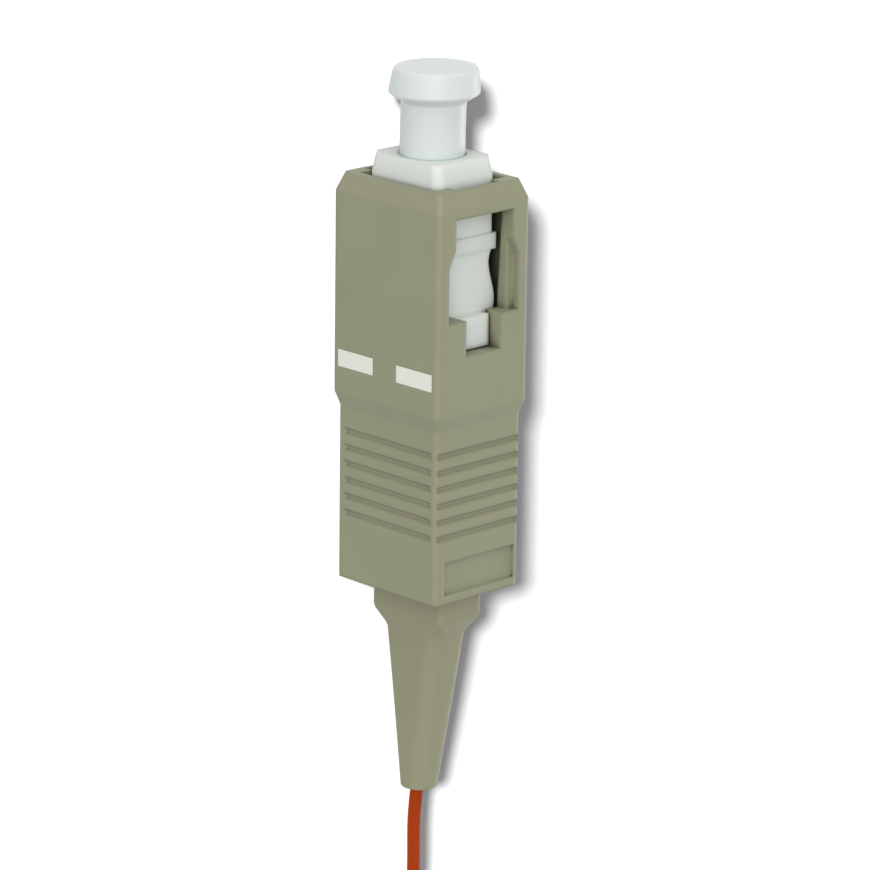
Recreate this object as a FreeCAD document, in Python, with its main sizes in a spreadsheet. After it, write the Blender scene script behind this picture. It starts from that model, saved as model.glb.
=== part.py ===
"""Push-pull SC fibre connector on a tight-buffered pigtail, with its dust cap on.

The connector's axis runs along X: the dust cap is at the -X end and the boot at the +X end.
The wide face with the index marks faces -Y, the wide face with the key faces +Y, and the
connector lies on one narrow face, so its height is the sleeve's width. Every sub-part is drawn
about the connector's own axis, with x = 0 at the front rim of the outer sleeve, and one
placement then lays them all down. Millimetres.
"""
import FreeCAD, Part
import Sketcher
import math
import os
import re

SIZES = [
    # the outer sleeve: grip that slides over the plug
    ("sleeve_wide", 9.0, "sleeve across its wide faces"),
    ("sleeve_thick", 7.4, "sleeve across its narrow faces"),
    ("sleeve_length", 24.9, "sleeve, front rim to rear end"),
    ("sleeve_round", 0.35, "radius of the sleeve's long edges"),
    ("rim_inset", 0.4, "bevel at the front rim, inwards"),
    ("rim_run", 1.1, "bevel at the front rim, along the axis"),
    ("front_length", 13.35, "full-size front part that enters an adapter"),
    ("step_run", 0.85, "length of the sloping step behind the front part"),
    ("grip_inset", 0.25, "how far the grip part is set in on every side"),
    ("cavity_gap", 0.2, "clearance of the plug frame in the sleeve, wide way"),
    ("front_gap", 0.375, "clearance in the sleeve's front hollow, thin way"),
    ("guide_gap", 0.085, "clearance where the sleeve guides the frame, thin way"),
    ("guide_start", 10.4, "where the guiding hollow starts"),
    ("rear_start", 14.5, "ledge inside the sleeve that stops its backward travel"),
    ("rear_gap", 0.325, "clearance in the sleeve's rear hollow, thin way"),
    ("window_start", 1.6, "front edge of the window"),
    ("window_wide", 4.7, "window's width through the wall"),
    ("window_end", 7.75, "shoulders at the back of the window"),
    ("recess_wide", 5.7, "shallow recess round the back of the window, across"),
    ("recess_depth", 0.55, "depth of that recess"),
    ("recess_taper_start", 3.4, "where the recess starts to widen"),
    ("recess_taper_end", 4.4, "where the recess has its full width"),
    ("slot_wide", 2.84, "slot behind the window, for the plug frame's stop"),
    ("slot_end", 9.9, "rear end of the slot"),
    ("ramp_depth", 0.3, "depth of the release ramp at its front"),
    ("ramp_end", 7.0, "rear end of the release ramp"),
    ("hook_wide", 3.6, "way in for an adapter's hook under the front bar, across"),
    ("hook_high", 0.6, "way in for an adapter's hook, above the hollow"),
    ("groove_first", 1.55, "first grip groove, behind the step"),
    ("groove_pitch", 1.01, "grip groove spacing"),
    ("groove_count", 6, "grip grooves on each face"),
    ("groove_wide", 0.46, "grip groove's width at the surface"),
    ("groove_depth", 0.2, "grip groove's depth"),
    ("groove_slope", 32, "slope of a groove's sides, degrees"),
    ("groove_margin", 0.5, "plain margin beside a groove on a wide face"),
    ("groove_side_margin", 0.12, "plain margin beside a groove on a narrow face"),
    ("panel_margin", 0.55, "from the recessed panel to the sleeve's rear end"),
    ("panel_length", 2.0, "recessed panel, along the axis"),
    ("panel_near", 0.75, "plain margin beside the recessed panel, marked side"),
    ("panel_far", 0.4, "plain margin beside the recessed panel, key side"),
    ("panel_depth", 0.2, "recessed panel's depth"),
    ("mark_back", 2.65, "from the index marks' front edge to the end of the front part"),
    ("mark_length", 1.04, "index marks, along the axis"),
    ("mark_margin", 0.5, "sleeve showing outside the index marks"),
    ("mark_gap", 2.0, "sleeve showing between the index marks"),
    ("mark_depth", 0.1, "thickness of the white fill in its recess"),
    ("key_wide", 2.1, "key rib's width"),
    ("key_high", 0.95, "key rib's height above its face"),
    ("key_start", 0.9, "key rib's front end"),
    ("key_length", 8.6, "key rib's length"),
    ("key_root", 0.4, "how far the key's own block runs into the wall"),
    # the plug frame
    ("frame_reach", 1.3, "how far the plug frame stands ahead of the sleeve"),
    ("frame_end", 20.5, "rear end of the plug frame"),
    ("frame_wide", 6.0, "plug frame, wide way"),
    ("frame_thick", 4.85, "plug frame, thin way"),
    ("frame_bevel", 0.43, "bevel on the plug frame's long edges"),
    ("nose_run", 1.15, "length of the lead-in at the frame's nose"),
    ("nose_inset", 0.25, "lead-in on the frame's narrow sides"),
    ("nose_inset_thin", 0.14, "lead-in on the frame's wide sides"),
    ("bead_start", 3.25, "latch bead on the frame"),
    ("bead_length", 0.98, "latch bead's length"),
    ("bead_high", 0.08, "latch bead's height on the narrow sides"),
    ("bead_bevel", 0.12, "latch bead's bevel"),
    ("waist_at", 5.2, "waist of the frame behind the bead"),
    ("waist_bevel", 0.64, "bevel at the waist"),
    ("bulge_at", 6.6, "bulge behind the waist"),
    ("bulge_bevel", 0.25, "bevel at the bulge"),
    ("rail_start", 8.0, "where the frame's plain rear part starts"),
    ("rail_bevel", 0.3, "bevel on the rear part"),
    ("stop_room", 0.08, "sleeve's slot free behind the frame's stop"),
    ("stop_length", 1.92, "frame's stop, along the axis"),
    ("stop_high", 0.6, "frame's stop above the narrow side"),
    ("slide_gap", 0.12, "clearance of what slides in the sleeve's slots"),
    ("sleeve_travel", 2.5, "from the sleeve's ledge to the ridge on the frame's wide sides"),
    ("ridge_length", 1.2, "ridge, along the axis"),
    ("ridge_wide", 4.4, "ridge, across"),
    ("ridge_high", 0.24, "ridge's height"),
    ("snap_back", 4.7, "from the stop ring's snaps to the frame's rear end"),
    ("snap_length", 1.4, "stop ring's snaps, along the axis"),
    ("snap_wide", 1.8, "stop ring's snaps, across"),
    ("snap_sink", 0.15, "how far the snaps stay inside the frame's side"),
    ("snap_gap", 0.1, "clearance round each snap in its window"),
    ("nose_bore", 1.97, "radius of the frame's front bore"),
    ("seat_front", 2.3, "front of the wall that the flange seats on"),
    ("seat_back", 3.2, "back of the wall that the flange seats on"),
    ("seat_gap", 0.2, "clearance of the ferrule in that wall"),
    ("chamber_bore", 2.15, "radius of the spring chamber"),
    ("frame_key_wide", 0.46, "anti-turn key inside the frame"),
    ("frame_key_length", 0.8, "anti-turn key, along the axis"),
    ("frame_key_high", 0.4, "anti-turn key above the chamber's wall"),
    # the ferrule and what is fixed to it
    ("ferrule_radius", 1.2495, "zirconia ferrule's radius"),
    ("ferrule_length", 10.5, "zirconia ferrule's length"),
    ("ferrule_bevel", 0.4, "bevel at the ferrule's tip"),
    ("ferrule_seat", 3.0, "how deep the ferrule sits in its flange"),
    ("funnel_length", 1.0, "funnel at the back of the ferrule"),
    ("glass_radius", 0.0625, "glass fibre's radius"),
    ("glass_gap", 0.001, "clearance of the glass in the ferrule"),
    ("flange_gap", 0.12, "clearance of the flange's head in the spring chamber"),
    ("flange_length", 1.9, "length of the flange's head"),
    ("barrel_gap", 0.06, "clearance of the flange's barrel inside the spring"),
    ("barrel_end", 7.0, "rear end of the barrel"),
    ("tail_wall", 0.325, "wall of the flange's tail round the guide tube"),
    ("tail_reach", 0.2, "how far the flange's tail reaches into the stop ring"),
    ("notch_wide", 0.62, "notches in the flange's head"),
    ("notch_depth", 0.43, "depth of the notches"),
    ("notch_count", 4, "notches round the flange's head"),
    ("tube_grip", 2.7, "length of the guide tube inside the flange's tail"),
    ("tube_short", 0.2, "how far the guide tube stops short of the stop ring's rear end"),
    ("tube_wall", 0.2, "guide tube's wall"),
    ("tube_gap", 0.05, "clearance of the buffered fibre in its passages"),
    ("wire_radius", 0.2, "spring wire's radius"),
    ("spring_gap", 0.13, "clearance round the spring in its chamber"),
    ("spring_turns", 7, "turns of the spring"),
    # the stop ring
    ("ring_start", 13.0, "front end of the stop ring, where the spring pushes"),
    ("ring_gap", 0.07, "clearance of the stop ring inside the frame"),
    ("tail_gap", 0.3, "clearance of the flange's tail in the stop ring"),
    ("tail_room_back", 0.5, "from that clearance's rear end to the frame's rear end"),
    ("tube_room", 0.125, "clearance of the guide tube in the stop ring"),
    ("collar_length", 0.8, "stop ring's collar behind the frame"),
    ("collar_wide", 5.6, "collar, wide way"),
    ("collar_thick", 4.5, "collar, thin way"),
    ("collar_bevel", 0.5, "collar's corner bevels"),
    ("spigot_wall", 0.25, "wall of the stop ring's tail, which holds the boot"),
    ("spigot_length", 4.7, "length of that tail behind the collar"),
    ("barb_back", 2.3, "from the collar to the front of the barb on that tail"),
    ("barb_length", 0.7, "barb's length"),
    ("barb_high", 0.15, "barb's height"),
    ("fit_gap", 0.02, "clearance of pieces pushed tightly together"),
    # the boot
    ("boot_wide", 6.0, "boot's block, wide way"),
    ("boot_thick", 3.5, "boot's block, thin way"),
    ("boot_round", 0.4, "radius of the block's edges"),
    ("boot_block_end", 26.85, "rear end of the boot's block"),
    ("boot_step", 1.0, "length of the slope from the boot's block to its taper"),
    ("boot_neck_wide", 4.56, "taper's start, wide way"),
    ("boot_neck_thick", 3.14, "taper's start, thin way"),
    ("boot_neck_round", 0.9, "taper's start, edge radius"),
    ("boot_end", 38.05, "boot's mouth"),
    ("boot_tip_wide", 2.2, "boot across its mouth"),
    ("boot_tip_round", 1.02, "edge radius at the mouth"),
    ("boot_room", 2.0, "room behind the stop ring for the guide tube"),
    ("boot_bore_gap", 0.1, "clearance of the buffered fibre in the boot"),
    # the dust cap
    ("tip_room", 1.1, "room in the cap ahead of the ferrule's tip"),
    ("cap_tail", 0.3, "cap's open end inside the frame"),
    ("cap_gap", 0.04, "clearance of the cap's neck in the frame"),
    ("cap_grip", 0.05, "clearance of the ferrule in the cap"),
    ("cap_roof", 1.1, "thickness of the cap's closed end"),
    ("cap_rim", 2.74, "radius of the cap's head at its rim"),
    ("cap_top", 2.5, "radius of the cap's head at its top"),
    ("cap_head", 1.55, "length of the cap's head, top to rim"),
    ("cap_undercut", 0.5, "slope under the cap's head, along the axis"),
    ("cap_bevel", 0.14, "bevel of the cap's edges"),
    # the buffered fibre, and its length put away as a hank
    ("cord_radius", 0.425, "buffered fibre's radius"),
    ("hank_start", 20.6, "hank's near end, behind the boot's mouth"),
    ("hank_long", 22.4, "hank's length"),
    ("hank_wide", 10.2, "hank's width"),
    ("hank_high", 6.0, "hank's height"),
    ("hank_bevel", 1.0, "bevel on the hank's upper and lower edges"),
    ("waist_wide", 7.6, "hank's width under its tie"),
    ("tie_long", 2.2, "width of the tie"),
    ("tie_thin", 0.3, "thickness of the tie"),
]

WIRE_SIDES = 6  # the spring's round wire is drawn with this many sides

# Sizes that follow from those above, as formulas.
STEP_END = "(front_length + step_run)"
CAVITY_WIDE = "(frame_wide + 2 * cavity_gap)"
MARK_START = "(front_length - mark_back)"
STOP_START = "(slot_end - stop_room - stop_length)"
SNAP_START = "(frame_end - snap_back)"
COLLAR_END = "(frame_end + collar_length)"
SPIGOT_END = f"({COLLAR_END} + spigot_length)"
BARB_START = f"({COLLAR_END} + barb_back)"
BARB_END = f"({BARB_START} + barb_length)"
FERRULE_REAR = "(seat_back + ferrule_seat)"
FERRULE_TIP = f"({FERRULE_REAR} - ferrule_length)"
HEAD_END = "(seat_back + flange_length)"
TAIL_END = "(ring_start + tail_reach)"
TUBE_START = f"({TAIL_END} - tube_grip)"
TUBE_END = f"({SPIGOT_END} - tube_short)"
CAP_INSIDE = f"({FERRULE_TIP} - tip_room)"
CAP_TOP = f"({CAP_INSIDE} - cap_roof)"
CAP_RIM = f"({CAP_TOP} + cap_head)"
CAP_NECK = "(nose_bore - cap_gap)"
FIBRE_PASSAGE = "(cord_radius + tube_gap)"
TUBE_RADIUS = f"({FIBRE_PASSAGE} + tube_wall)"
TAIL_RADIUS = f"({TUBE_RADIUS} + tail_wall)"
RING_BORE = f"({TUBE_RADIUS} + tube_room)"
SPIGOT_RADIUS = f"({RING_BORE} + spigot_wall)"
FLANGE_RADIUS = "(chamber_bore - flange_gap)"
SPRING_RADIUS = "(chamber_bore - spring_gap - wire_radius)"
BARREL_RADIUS = f"({SPRING_RADIUS} - wire_radius - barrel_gap)"
CENTRE = f"((boot_end + {CAP_TOP}) / 2)"

NAMES = [name for name, value, meaning in SIZES]
WORDS = re.compile(r"\b(" + "|".join(NAMES) + r")\b")

doc = FreeCAD.newDocument("sc_connector")
sheet = doc.addObject("Spreadsheet::Sheet", "Sizes")
for row, (name, value, meaning) in enumerate(SIZES, start=1):
    sheet.set(f"A{row}", meaning)
    sheet.set(f"B{row}", str(value))
    sheet.setAlias(f"B{row}", name)
doc.recompute()


# Formulas in the sheet's words, and the drawing steps that every sub-part uses.

def formula(words):
    """The words as an expression that reads the sheet."""
    return WORDS.sub(r"Sizes.\1", words)


def amount(words):
    """The present value of a formula."""
    value = sheet.evalExpression(formula(words))
    return float(getattr(value, "Value", value))


def bind(thing, **formulas):
    """Ties properties of an object to formulas."""
    for prop, words in formulas.items():
        thing.setExpression(prop.replace("_of_", "."), formula(words))


def lay_down(thing, along="0", turn=None):
    """Lays a sub-part with the rest: level, half the sleeve's width above the floor.

    The origin is under the middle of the connector's box, which the key rib makes one-sided.
    """
    if turn is not None:
        thing.Placement = FreeCAD.Placement(FreeCAD.Vector(), turn)
    bind(thing, Placement_of_Base_of_x=f"{along} - {CENTRE}",
         Placement_of_Base_of_y="-key_high / 2", Placement_of_Base_of_z="sleeve_wide / 2")


def new_body(label):
    body = doc.addObject("PartDesign::Body", label)
    body.Label = label
    lay_down(body)
    return body


def new_sketch(body, plane, offset="0"):
    """A sketch on one of the body's own origin planes, moved along that plane's normal."""
    sketch = body.newObject("Sketcher::SketchObject", "sketch")
    origin_plane = [f for f in body.Origin.OriginFeatures if f.Role == plane][0]
    sketch.AttachmentSupport = [(origin_plane, "")]
    sketch.MapMode = "FlatFace"
    if offset != "0":
        bind(sketch, AttachmentOffset_of_Base_of_z=offset)
    return sketch


def dimension(sketch, kind, name, words, *where):
    """A driving dimension, bound to its formula."""
    number = sketch.addConstraint(Sketcher.Constraint(kind, *where, amount(words)))
    sketch.renameConstraint(number, name)
    sketch.setExpression("Constraints." + name, formula(words))


def pin_point(sketch, tag, geo, pos, x_words, y_words):
    """Holds one point of the geometry at a place given by two formulas."""
    for axis, kind, words, line in (("x", "DistanceX", x_words, -2), ("y", "DistanceY", y_words, -1)):
        if words == "0":
            sketch.addConstraint(Sketcher.Constraint("PointOnObject", geo, pos, line))
        else:
            dimension(sketch, kind, f"{tag}_{axis}", words, -1, 1, geo, pos)


def polygon(sketch, corners):
    """A closed outline through corners given as pairs of formulas."""
    spots = [FreeCAD.Vector(amount(x), amount(y), 0) for x, y in corners]
    first = sketch.GeometryCount
    for a, b in zip(spots, spots[1:] + spots[:1]):
        sketch.addGeometry(Part.LineSegment(a, b))
    for i, (x, y) in enumerate(corners):
        before = first + (i - 1) % len(corners)
        sketch.addConstraint(Sketcher.Constraint("Coincident", before, 2, first + i, 1))
        pin_point(sketch, f"p{first + i}", first + i, 1, x, y)


def rectangle(sketch, x_low, x_high, y_low, y_high):
    polygon(sketch, [(x_low, y_low), (x_high, y_low), (x_high, y_high), (x_low, y_high)])


def mirrored(sketch, side):
    """An outline the same on both sides of the axis, from places along it and widths there."""
    polygon(sketch, [(x, f"-{wide} / 2") for x, wide in side]
            + [(x, f"{wide} / 2") for x, wide in reversed(side)])


def octagon(sketch, wide, tall, bevel):
    """A centred rectangle with bevelled corners: the section of a moulded frame."""
    corners = []
    for sx, sy, first_flat in ((1, -1, True), (1, 1, False), (-1, 1, True), (-1, -1, False)):
        on_x = (f"{sx} * (({wide}) / 2 - {bevel})", f"{sy} * ({tall}) / 2")
        on_y = (f"{sx} * ({wide}) / 2", f"{sy} * (({tall}) / 2 - {bevel})")
        corners += [on_x, on_y] if first_flat else [on_y, on_x]
    polygon(sketch, corners)


def rounded(sketch, wide, tall, radius):
    """A centred rectangle with rounded corners, each arc held by its centre and radius."""
    a, b, r = amount(wide) / 2, amount(tall) / 2, amount(radius)
    quarter = math.pi / 2
    corners = [(1, 1), (-1, 1), (-1, -1), (1, -1)]
    for i, (sx, sy) in enumerate(corners):
        centre = FreeCAD.Vector(sx * (a - r), sy * (b - r), 0)
        circle = Part.Circle(centre, FreeCAD.Vector(0, 0, 1), r)
        sketch.addGeometry(Part.ArcOfCircle(circle, i * quarter, (i + 1) * quarter))
        pin_point(sketch, f"c{i}", i, 3, f"{sx} * (({wide}) / 2 - {radius})",
                  f"{sy} * (({tall}) / 2 - {radius})")
        dimension(sketch, "Radius", f"r{i}", radius, i)
    for i in range(4):
        after = (i + 1) % 4
        start = sketch.getPoint(i, 2)
        stop = sketch.getPoint(after, 1)
        line = sketch.addGeometry(Part.LineSegment(start, stop))
        sketch.addConstraint(Sketcher.Constraint("Tangent", i, 2, line, 1))
        sketch.addConstraint(Sketcher.Constraint("Tangent", line, 2, after, 1))


def disc(sketch, radius):
    """A circle about the axis."""
    circle = Part.Circle(FreeCAD.Vector(), FreeCAD.Vector(0, 0, 1), amount(radius))
    sketch.addGeometry(circle)
    sketch.addConstraint(Sketcher.Constraint("Coincident", 0, 3, -1, 1))
    dimension(sketch, "Radius", "radius", radius, 0)


def pad(body, sketch, length, backwards=False, both_ways=False):
    feature = body.newObject("PartDesign::Pad", "pad")
    feature.Profile = sketch
    feature.Reversed = backwards
    feature.Midplane = both_ways
    bind(feature, Length=length)
    return feature


def pocket(body, sketch, length, backwards=False, both_ways=False):
    """A cut, which has to take something away."""
    doc.recompute()
    before = body.Shape.Volume
    feature = body.newObject("PartDesign::Pocket", "pocket")
    feature.Profile = sketch
    feature.Reversed = backwards
    feature.Midplane = both_ways
    bind(feature, Length=length)
    doc.recompute()
    if not body.Shape.Volume < before:
        raise SystemExit(f"{body.Label}: a cut took nothing away")
    return feature


def loft(body, sketches, straight=True):
    feature = body.newObject("PartDesign::AdditiveLoft", "loft")
    feature.Profile = sketches[0]
    feature.Sections = sketches[1:]
    feature.Ruled = straight
    return feature


def turned(body, corners, hollow=False):
    """A profile turned about the axis: a solid, or the hollow cut out of one."""
    sketch = new_sketch(body, "XY_Plane")
    polygon(sketch, corners)
    if hollow:
        doc.recompute()
        before = body.Shape.Volume
    kind = "PartDesign::Groove" if hollow else "PartDesign::Revolution"
    feature = body.newObject(kind, "turned")
    feature.Profile = sketch
    feature.ReferenceAxis = (sketch, ["H_Axis"])
    feature.Angle = 360
    doc.recompute()
    if hollow and not body.Shape.Volume < before:
        raise SystemExit(f"{body.Label}: a turned hollow took nothing away")
    return feature


def bevel_edges(body, size, test):
    """Bevels the edges of the body that pass a test on their middle point and box."""
    doc.recompute()
    base = body.Tip
    chosen = [f"Edge{i}" for i, edge in enumerate(base.Shape.Edges, start=1) if test(edge)]
    feature = body.newObject("PartDesign::Chamfer", "bevel")
    feature.Base = (base, chosen)
    bind(feature, Size=size)
    doc.recompute()
    return feature


# Outer sleeve: one moulding. Its front part enters the adapter, its rear part is the grip.

def outer_sleeve():
    body = new_body("outer_sleeve")
    grip = "2 * grip_inset"
    rim = "2 * rim_inset"
    stations = [("0", rim), ("rim_run", "0"), ("front_length", "0"),
                (STEP_END, grip), ("sleeve_length", grip)]
    sections = []
    for at, less in stations:
        sketch = new_sketch(body, "YZ_Plane", at)
        rounded(sketch, f"sleeve_thick - {less}", f"sleeve_wide - {less}", "sleeve_round")
        sections.append(sketch)
    loft(body, sections)

    key = new_sketch(body, "YZ_Plane", "key_start")
    rectangle(key, "sleeve_thick / 2 - key_root", "sleeve_thick / 2 + key_high",
              "-key_wide / 2", "key_wide / 2")
    pad(body, key, "key_length")

    for at, end, gap in (("0", "guide_start", "front_gap"),
                         ("guide_start", "rear_start", "guide_gap"),
                         ("rear_start", "sleeve_length", "rear_gap")):
        hollow = new_sketch(body, "YZ_Plane", at)
        rectangle(hollow, f"-(frame_thick / 2 + {gap})", f"frame_thick / 2 + {gap}",
                  f"-{CAVITY_WIDE} / 2", f"{CAVITY_WIDE} / 2")
        pocket(body, hollow, f"{end} - {at}", backwards=True)

    window = new_sketch(body, "XY_Plane")
    mirrored(window, [("window_start", "window_wide"), ("window_end", "window_wide"),
                      ("window_end", "slot_wide"), ("slot_end", "slot_wide")])
    pocket(body, window, "sleeve_wide + 2", both_ways=True)
    for face, backwards in (("sleeve_wide / 2", False), ("-sleeve_wide / 2", True)):
        recess = new_sketch(body, "XY_Plane", face)
        mirrored(recess, [("recess_taper_start", "window_wide"), ("recess_taper_end", "recess_wide"),
                          ("window_end", "recess_wide")])
        pocket(body, recess, "recess_depth", backwards)

    ways_in = new_sketch(body, "YZ_Plane")
    half_high = f"({CAVITY_WIDE} / 2 + hook_high)"
    rectangle(ways_in, "-hook_wide / 2", "hook_wide / 2", f"-{half_high}", half_high)
    pocket(body, ways_in, "window_start", backwards=True)

    ramps = new_sketch(body, "XZ_Plane")
    for side in ("", "-"):
        polygon(ramps, [("window_start", f"{side}({CAVITY_WIDE} / 2 + ramp_depth)"),
                        ("ramp_end", f"{side}{CAVITY_WIDE} / 2"),
                        ("window_start", f"{side}{CAVITY_WIDE} / 2")])
    pocket(body, ramps, "frame_thick + 2 * front_gap", both_ways=True)

    grip_thick = "(sleeve_thick / 2 - grip_inset)"
    grip_wide = "(sleeve_wide / 2 - grip_inset)"
    faces = [("XZ_Plane", grip_thick, grip_wide, "groove_margin", False),
             ("XZ_Plane", "-" + grip_thick, grip_wide, "groove_margin", True),
             ("XY_Plane", grip_wide, grip_thick, "groove_side_margin", False),
             ("XY_Plane", "-" + grip_wide, grip_thick, "groove_side_margin", True)]
    first = f"({STEP_END} + groove_first)"
    for plane, out, half, margin, backwards in faces:
        groove = new_sketch(body, plane, out)
        rectangle(groove, f"{first} - groove_wide / 2", f"{first} + groove_wide / 2",
                  f"-({half} - {margin})", f"{half} - {margin}")
        cut = pocket(body, groove, "groove_depth", backwards)
        bind(cut, TaperAngle="-groove_slope")
        row = body.newObject("PartDesign::LinearPattern", "grooves")
        row.Originals = [cut]
        row.Direction = (groove, ["H_Axis"])
        bind(row, Occurrences="groove_count", Length="groove_pitch * (groove_count - 1)")
        body.Tip = row

    panel = new_sketch(body, "XY_Plane", grip_wide)
    panel_end = "(sleeve_length - panel_margin)"
    rectangle(panel, f"{panel_end} - panel_length", panel_end,
              f"-({grip_thick} - panel_near)", f"{grip_thick} - panel_far")
    pocket(body, panel, "panel_depth")

    marks = new_sketch(body, "XZ_Plane", "sleeve_thick / 2")
    for side in (-1, 1):
        mark_outline(marks, side)
    pocket(body, marks, "mark_depth")
    return body


def mark_outline(sketch, side):
    """One index mark's rectangle, below or above the middle of the marked face."""
    near = f"{side} * mark_gap / 2"
    far = f"{side} * (sleeve_wide / 2 - mark_margin)"
    rectangle(sketch, MARK_START, f"{MARK_START} + mark_length", near, far)


# Index marks: white fill, flush in its two shallow recesses.

def index_mark(label, side):
    body = new_body(label)
    sketch = new_sketch(body, "XZ_Plane", "sleeve_thick / 2")
    mark_outline(sketch, side)
    pad(body, sketch, "mark_depth", backwards=True)
    return body


# Plug frame: the moulded inner body that an adapter's hooks latch on to.

def plug_frame():
    body = new_body("plug_frame")

    def section(at, bevel, inset_thin="0", inset_wide="0"):
        sketch = new_sketch(body, "YZ_Plane", at)
        octagon(sketch, f"frame_thick - 2 * {inset_thin}", f"frame_wide - 2 * {inset_wide}", bevel)
        return sketch

    loft(body, [section("-frame_reach", "frame_bevel", "nose_inset_thin", "nose_inset"),
                section("nose_run - frame_reach", "frame_bevel"),
                section("bead_start + bead_length", "frame_bevel")])
    loft(body, [section("bead_start + bead_length", "frame_bevel"), section("waist_at", "waist_bevel"),
                section("bulge_at", "bulge_bevel"), section("rail_start", "rail_bevel")], straight=False)
    pad(body, section("rail_start", "rail_bevel"), "frame_end - rail_start")
    pad(body, section("bead_start", "bead_bevel", "0", "-bead_high"), "bead_length")

    stops = new_sketch(body, "YZ_Plane", STOP_START)
    half_stop = "(slot_wide / 2 - slide_gap)"
    rectangle(stops, f"-{half_stop}", half_stop,
              "-(frame_wide / 2 + stop_high)", "frame_wide / 2 + stop_high")
    pad(body, stops, "stop_length")
    ridges = new_sketch(body, "YZ_Plane", "rear_start + sleeve_travel")
    rectangle(ridges, "-(frame_thick / 2 + ridge_high)", "frame_thick / 2 + ridge_high",
              "-ridge_wide / 2", "ridge_wide / 2")
    pad(body, ridges, "ridge_length")

    seat_bore = "(ferrule_radius + seat_gap)"
    turned(body, [("-frame_reach", "0"), ("-frame_reach", "nose_bore"), ("seat_front", "nose_bore"),
                  ("seat_front", seat_bore), ("seat_back", seat_bore),
                  ("seat_back", "chamber_bore"), ("frame_end", "chamber_bore"), ("frame_end", "0")],
           hollow=True)

    snaps = new_sketch(body, "XY_Plane")
    rectangle(snaps, f"{SNAP_START} - snap_gap", f"{SNAP_START} + snap_length + snap_gap",
              "-(snap_wide / 2 + snap_gap)", "snap_wide / 2 + snap_gap")
    pocket(body, snaps, "frame_wide + 2", both_ways=True)

    keys = new_sketch(body, "YZ_Plane", "seat_back")
    for side in ("", "-"):
        rectangle(keys, "-frame_key_wide / 2", "frame_key_wide / 2",
                  f"{side}(chamber_bore - frame_key_high)", f"{side}(chamber_bore + frame_key_high)")
    pad(body, keys, "frame_key_length")
    return body


# Ferrule: a ground zirconia cylinder with a fine bore, bevelled at its tip.

def ferrule():
    body = new_body("ferrule")
    bore = "(glass_radius + glass_gap)"
    turned(body, [(FERRULE_TIP, bore), (FERRULE_TIP, "ferrule_radius - ferrule_bevel"),
                  (f"{FERRULE_TIP} + ferrule_bevel", "ferrule_radius"),
                  (FERRULE_REAR, "ferrule_radius"), (FERRULE_REAR, FIBRE_PASSAGE),
                  (f"{FERRULE_REAR} - funnel_length", bore)])
    return body


# Ferrule flange: turned metal. Its head seats on the frame's wall and takes the spring.

def ferrule_flange():
    body = new_body("ferrule_flange")
    turned(body, [("seat_back", "ferrule_radius"), ("seat_back", FLANGE_RADIUS),
                  (HEAD_END, FLANGE_RADIUS), (HEAD_END, BARREL_RADIUS),
                  ("barrel_end", BARREL_RADIUS), ("barrel_end", TAIL_RADIUS),
                  (TAIL_END, TAIL_RADIUS), (TAIL_END, TUBE_RADIUS),
                  (TUBE_START, TUBE_RADIUS), (TUBE_START, FIBRE_PASSAGE),
                  (FERRULE_REAR, FIBRE_PASSAGE), (FERRULE_REAR, "ferrule_radius")])
    notch = new_sketch(body, "YZ_Plane", "seat_back")
    rectangle(notch, "-notch_wide / 2", "notch_wide / 2",
              f"{FLANGE_RADIUS} - notch_depth", f"{FLANGE_RADIUS} + notch_wide")
    cut = pocket(body, notch, "flange_length", backwards=True)
    ring = body.newObject("PartDesign::PolarPattern", "notches")
    ring.Originals = [cut]
    ring.Axis = (notch, ["N_Axis"])
    ring.Angle = 360
    bind(ring, Occurrences="notch_count")
    body.Tip = ring
    return body


def rod(label, radius, start, end, bore=None):
    """A round rod or tube along the axis."""
    body = new_body(label)
    outline = new_sketch(body, "YZ_Plane", start)
    disc(outline, radius)
    pad(body, outline, f"{end} - ({start})")
    if bore is not None:
        hole = new_sketch(body, "YZ_Plane", start)
        disc(hole, bore)
        pocket(body, hole, f"{end} - ({start})", backwards=True)
    return body


# Coil spring: round wire, drawn six-sided, from the flange's head to the stop ring's front.

def coil_spring():
    start = f"({HEAD_END} + wire_radius)"
    height = f"(ring_start - wire_radius - {start})"
    helix = doc.addObject("Part::Helix", "spring_path")
    bind(helix, Radius=SPRING_RADIUS, Height=height, Pitch=f"{height} / spring_turns")
    wire = doc.addObject("Part::RegularPolygon", "spring_wire")
    wire.Polygon = WIRE_SIDES
    wire.Placement = FreeCAD.Placement(FreeCAD.Vector(), FreeCAD.Rotation(FreeCAD.Vector(1, 0, 0), 90))
    bind(wire, Circumradius="wire_radius", Placement_of_Base_of_x=SPRING_RADIUS)
    sweep = doc.addObject("Part::Sweep", "coil_spring")
    sweep.Label = "coil_spring"
    sweep.Sections = [wire]
    sweep.Spine = (helix, ["Edge1"])
    sweep.Solid = True
    sweep.Frenet = True
    lay_down(sweep, along=start, turn=FreeCAD.Rotation(FreeCAD.Vector(0, 1, 0), 90))
    return sweep


# Stop ring: turned metal that snaps into the frame, backs the spring and carries the boot.

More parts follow.
